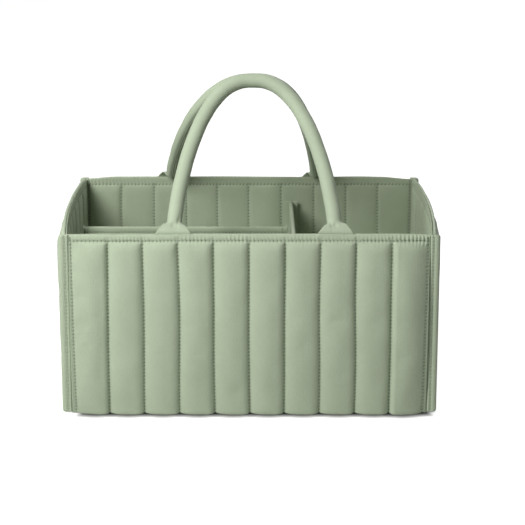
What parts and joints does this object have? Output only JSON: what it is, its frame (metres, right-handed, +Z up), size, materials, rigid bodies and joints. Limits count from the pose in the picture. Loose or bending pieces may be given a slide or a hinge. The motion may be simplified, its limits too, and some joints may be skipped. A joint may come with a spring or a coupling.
{
  "type": "diaper caddy",
  "caption": "Open rectangular quilted fabric caddy with bound corners, stiffened walls, lift-out dividers and two soft loop handles that lean together over the middle.",
  "frame": {"origin": "on the floor under the middle of the body", "axes": "+Z up, +X along the long front wall to the right, the front wall faces -Y"},
  "size_m": [0.3922, 0.25, 0.3303],
  "materials": {
    "quilted_cloth": "smooth woven, matt with a slight sheen, padded",
    "lining_cloth": "plain woven, matt",
    "handle_cloth": "smooth woven, rolled and sewn",
    "stiffener": "plain sheet",
    "cord": "twisted cotton",
    "hook_and_loop": "napped tape"
  },
  "bodies": {
    "basket": {"bottom_panel": "quilted_cloth", "base_board": "stiffener", "floor_lining": "lining_cloth", "front_outer_panel": "quilted_cloth", "back_outer_panel": "quilted_cloth", "left_outer_panel": "quilted_cloth", "right_outer_panel": "quilted_cloth", "front_wall_board": "stiffener", "back_wall_board": "stiffener", "left_wall_board": "stiffener", "right_wall_board": "stiffener", "front_lining": "lining_cloth", "back_lining": "lining_cloth", "left_lining": "lining_cloth", "right_lining": "lining_cloth", "front_left_corner_binding": "quilted_cloth", "front_right_corner_binding": "quilted_cloth", "back_left_corner_binding": "quilted_cloth", "back_right_corner_binding": "quilted_cloth", "front_handle_left_end": "handle_cloth", "front_handle_right_end": "handle_cloth", "back_handle_left_end": "handle_cloth", "back_handle_right_end": "handle_cloth", "front_wall_loop_tape": "hook_and_loop", "back_wall_loop_tape": "hook_and_loop", "left_wall_loop_tape": "hook_and_loop"},
    "front_handle": {"front_handle_sleeve": "handle_cloth", "front_handle_core": "cord"},
    "back_handle": {"back_handle_sleeve": "handle_cloth", "back_handle_core": "cord"},
    "cross_divider": {"cross_divider_cover": "lining_cloth", "cross_divider_board": "stiffener", "cross_divider_front_hook_tape": "hook_and_loop", "cross_divider_back_hook_tape": "hook_and_loop", "cross_divider_loop_tape": "hook_and_loop"},
    "long_divider": {"long_divider_cover": "lining_cloth", "long_divider_board": "stiffener", "long_divider_left_hook_tape": "hook_and_loop", "long_divider_right_hook_tape": "hook_and_loop"}
  },
  "joints": [
    {"name": "front_handle_swing", "type": "hinge", "parent": "basket", "child": "front_handle", "pos_m": [0, -0.1208, 0.1904], "axis": [1, 0, 0], "range_deg": [0, 175]},
    {"name": "back_handle_swing", "type": "hinge", "parent": "basket", "child": "back_handle", "pos_m": [0, 0.1208, 0.1904], "axis": [-1, 0, 0], "range_deg": [0, 175]},
    {"name": "cross_divider_lift", "type": "slide", "parent": "basket", "child": "cross_divider", "axis": [0, 0, 1], "range_m": [0, 0.09]},
    {"name": "long_divider_lift", "type": "slide", "parent": "basket", "child": "long_divider", "axis": [0, 0, 1], "range_m": [0, 0.14]}
  ]
}
